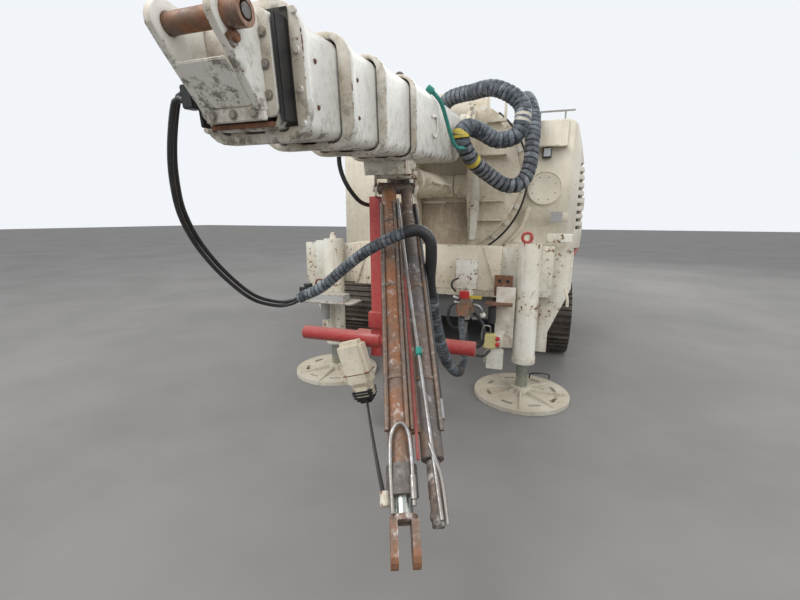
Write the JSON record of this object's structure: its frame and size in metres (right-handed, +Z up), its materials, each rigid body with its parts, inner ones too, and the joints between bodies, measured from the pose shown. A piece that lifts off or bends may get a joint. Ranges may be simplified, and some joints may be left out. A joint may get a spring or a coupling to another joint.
{
  "type": "rotary piling rig",
  "caption": "Tracked piling rig with a low telescopic box boom on an upright slewing ring, two front jacks with round pads, a hanging double-tube arm and a rounded engine house.",
  "frame": {"origin": "on the ground, at the middle of the rig's length and width", "axes": "-Y towards the boom's head (front), +X to the right as seen from the front, +Z up"},
  "size_m": [3.04, 7.6206, 2.9294],
  "materials": {
    "cream": "chipped semi-gloss paint",
    "boom_cream": "worn semi-gloss paint",
    "red": "faded gloss paint",
    "grey": "matt paint",
    "chassis": "dusty matt paint",
    "track": "worn and dusty",
    "rod": "ground and plated",
    "rust": "rusted with scuffs",
    "pipe": "zinc plated",
    "lamp": "satin",
    "iron": "rough"
  },
  "bodies": {
    "root": {"track_left": "track", "track_right": "track", "track_wheels_left": "track", "track_wheels_right": "track", "track_frame_left": "chassis", "track_frame_right": "chassis", "chassis": "chassis", "cross_members": "chassis", "front_arms": "cream", "front_plate": "cream", "slew_ring": "cream", "front_beam": "cream", "jack_housing_left": "cream", "jack_housing_right": "cream", "house_shell": "cream", "deck_plate": "chassis", "side_skirts": "red", "engine_block": "iron", "rear_grille": "grey", "nose_covers": "cream", "work_lamp": "lamp", "roof_rail": "cream", "valve_bank": "grey", "stop_boxes": "cream", "tool_tray": "grey"},
    "jack_left": {"jack_rod_left": "rod", "jack_pad_left": "cream"},
    "jack_right": {"jack_rod_right": "rod", "jack_pad_right": "cream"},
    "door_left": {"side_door_left": "cream"},
    "door_right": {"side_door_right": "cream"},
    "slew": {"slew_disc": "cream", "cradle": "cream", "hose_bracket": "grey"},
    "boom": {"boom_base": "boom_cream", "arm_bracket": "cream", "boom_shackle": "pipe", "tee_frame": "red"},
    "stage_1": {"boom_stage_1": "boom_cream"},
    "stage_2": {"boom_stage_2": "boom_cream"},
    "stage_3": {"boom_stage_3": "boom_cream"},
    "stage_4": {"boom_stage_4": "boom_cream", "head_cheeks": "boom_cream", "head_pin": "rust"},
    "luff_barrel": {"luff_barrel": "cream"},
    "luff_rod": {"luff_rod": "rod"},
    "arm": {"arm_barrel": "rust", "arm_pipes": "pipe"},
    "arm_rod": {"arm_rod": "rod"}
  },
  "joints": [
    {"name": "slew_turn", "type": "hinge", "parent": "root", "child": "slew", "pos_m": [0, -0.2393, 2.01], "axis": [0, 1, 0], "range_deg": [-90, 90]},
    {"name": "boom_luff", "type": "hinge", "parent": "slew", "child": "boom", "pos_m": [0, -0.5393, 2.51], "axis": [-1, 0, 0], "range_deg": [-5, 28]},
    {"name": "luff_barrel_turn", "type": "hinge", "parent": "slew", "child": "luff_barrel", "pos_m": [0, -0.3593, 1.93], "axis": [-1, 0, 0], "range_deg": [-5, 24]},
    {"name": "luff_rod_slide", "type": "slide", "parent": "luff_barrel", "child": "luff_rod", "axis": [0, -0.9995, -0.0327], "range_m": [-0.05, 0.27]},
    {"name": "stage_1_slide", "type": "slide", "parent": "boom", "child": "stage_1", "axis": [0, -0.9942, -0.108], "range_m": [0, 1.1]},
    {"name": "stage_2_slide", "type": "slide", "parent": "boom", "child": "stage_2", "axis": [0, -0.9942, -0.108], "range_m": [0, 2.2]},
    {"name": "stage_3_slide", "type": "slide", "parent": "boom", "child": "stage_3", "axis": [0, -0.9942, -0.108], "range_m": [0, 3.3]},
    {"name": "stage_4_slide", "type": "slide", "parent": "boom", "child": "stage_4", "axis": [0, -0.9942, -0.108], "range_m": [0, 4.4]},
    {"name": "arm_swing", "type": "hinge", "parent": "boom", "child": "arm", "pos_m": [0, -1.9993, 1.8], "axis": [-0.9323, -0.3616, 0], "range_deg": [0, 25]},
    {"name": "arm_rod_slide", "type": "slide", "parent": "arm", "child": "arm_rod", "axis": [0.2914, -0.7514, -0.592], "range_m": [0, 0.25]},
    {"name": "jack_left_slide", "type": "slide", "parent": "root", "child": "jack_left", "axis": [0, 0, -1], "range_m": [-0.2, 0.45]},
    {"name": "jack_right_slide", "type": "slide", "parent": "root", "child": "jack_right", "axis": [0, 0, -1], "range_m": [-0.2, 0.45]},
    {"name": "door_left_hinge", "type": "hinge", "parent": "root", "child": "door_left", "pos_m": [-1.508, 0.5707, 1.6], "axis": [0, 0, 1], "range_deg": [0, 110]},
    {"name": "door_right_hinge", "type": "hinge", "parent": "root", "child": "door_right", "pos_m": [1.508, 0.5707, 1.6], "axis": [0, 0, -1], "range_deg": [0, 110]}
  ],
  "couplings": [
    {"joint": "luff_barrel_turn", "follows": "boom_luff", "ratio": 0.845},
    {"joint": "luff_rod_slide", "follows": "boom_luff", "m_per_rad": 0.54},
    {"joint": "stage_2_slide", "follows": "stage_1_slide", "ratio": 2},
    {"joint": "stage_3_slide", "follows": "stage_1_slide", "ratio": 3},
    {"joint": "stage_4_slide", "follows": "stage_1_slide", "ratio": 4}
  ]
}
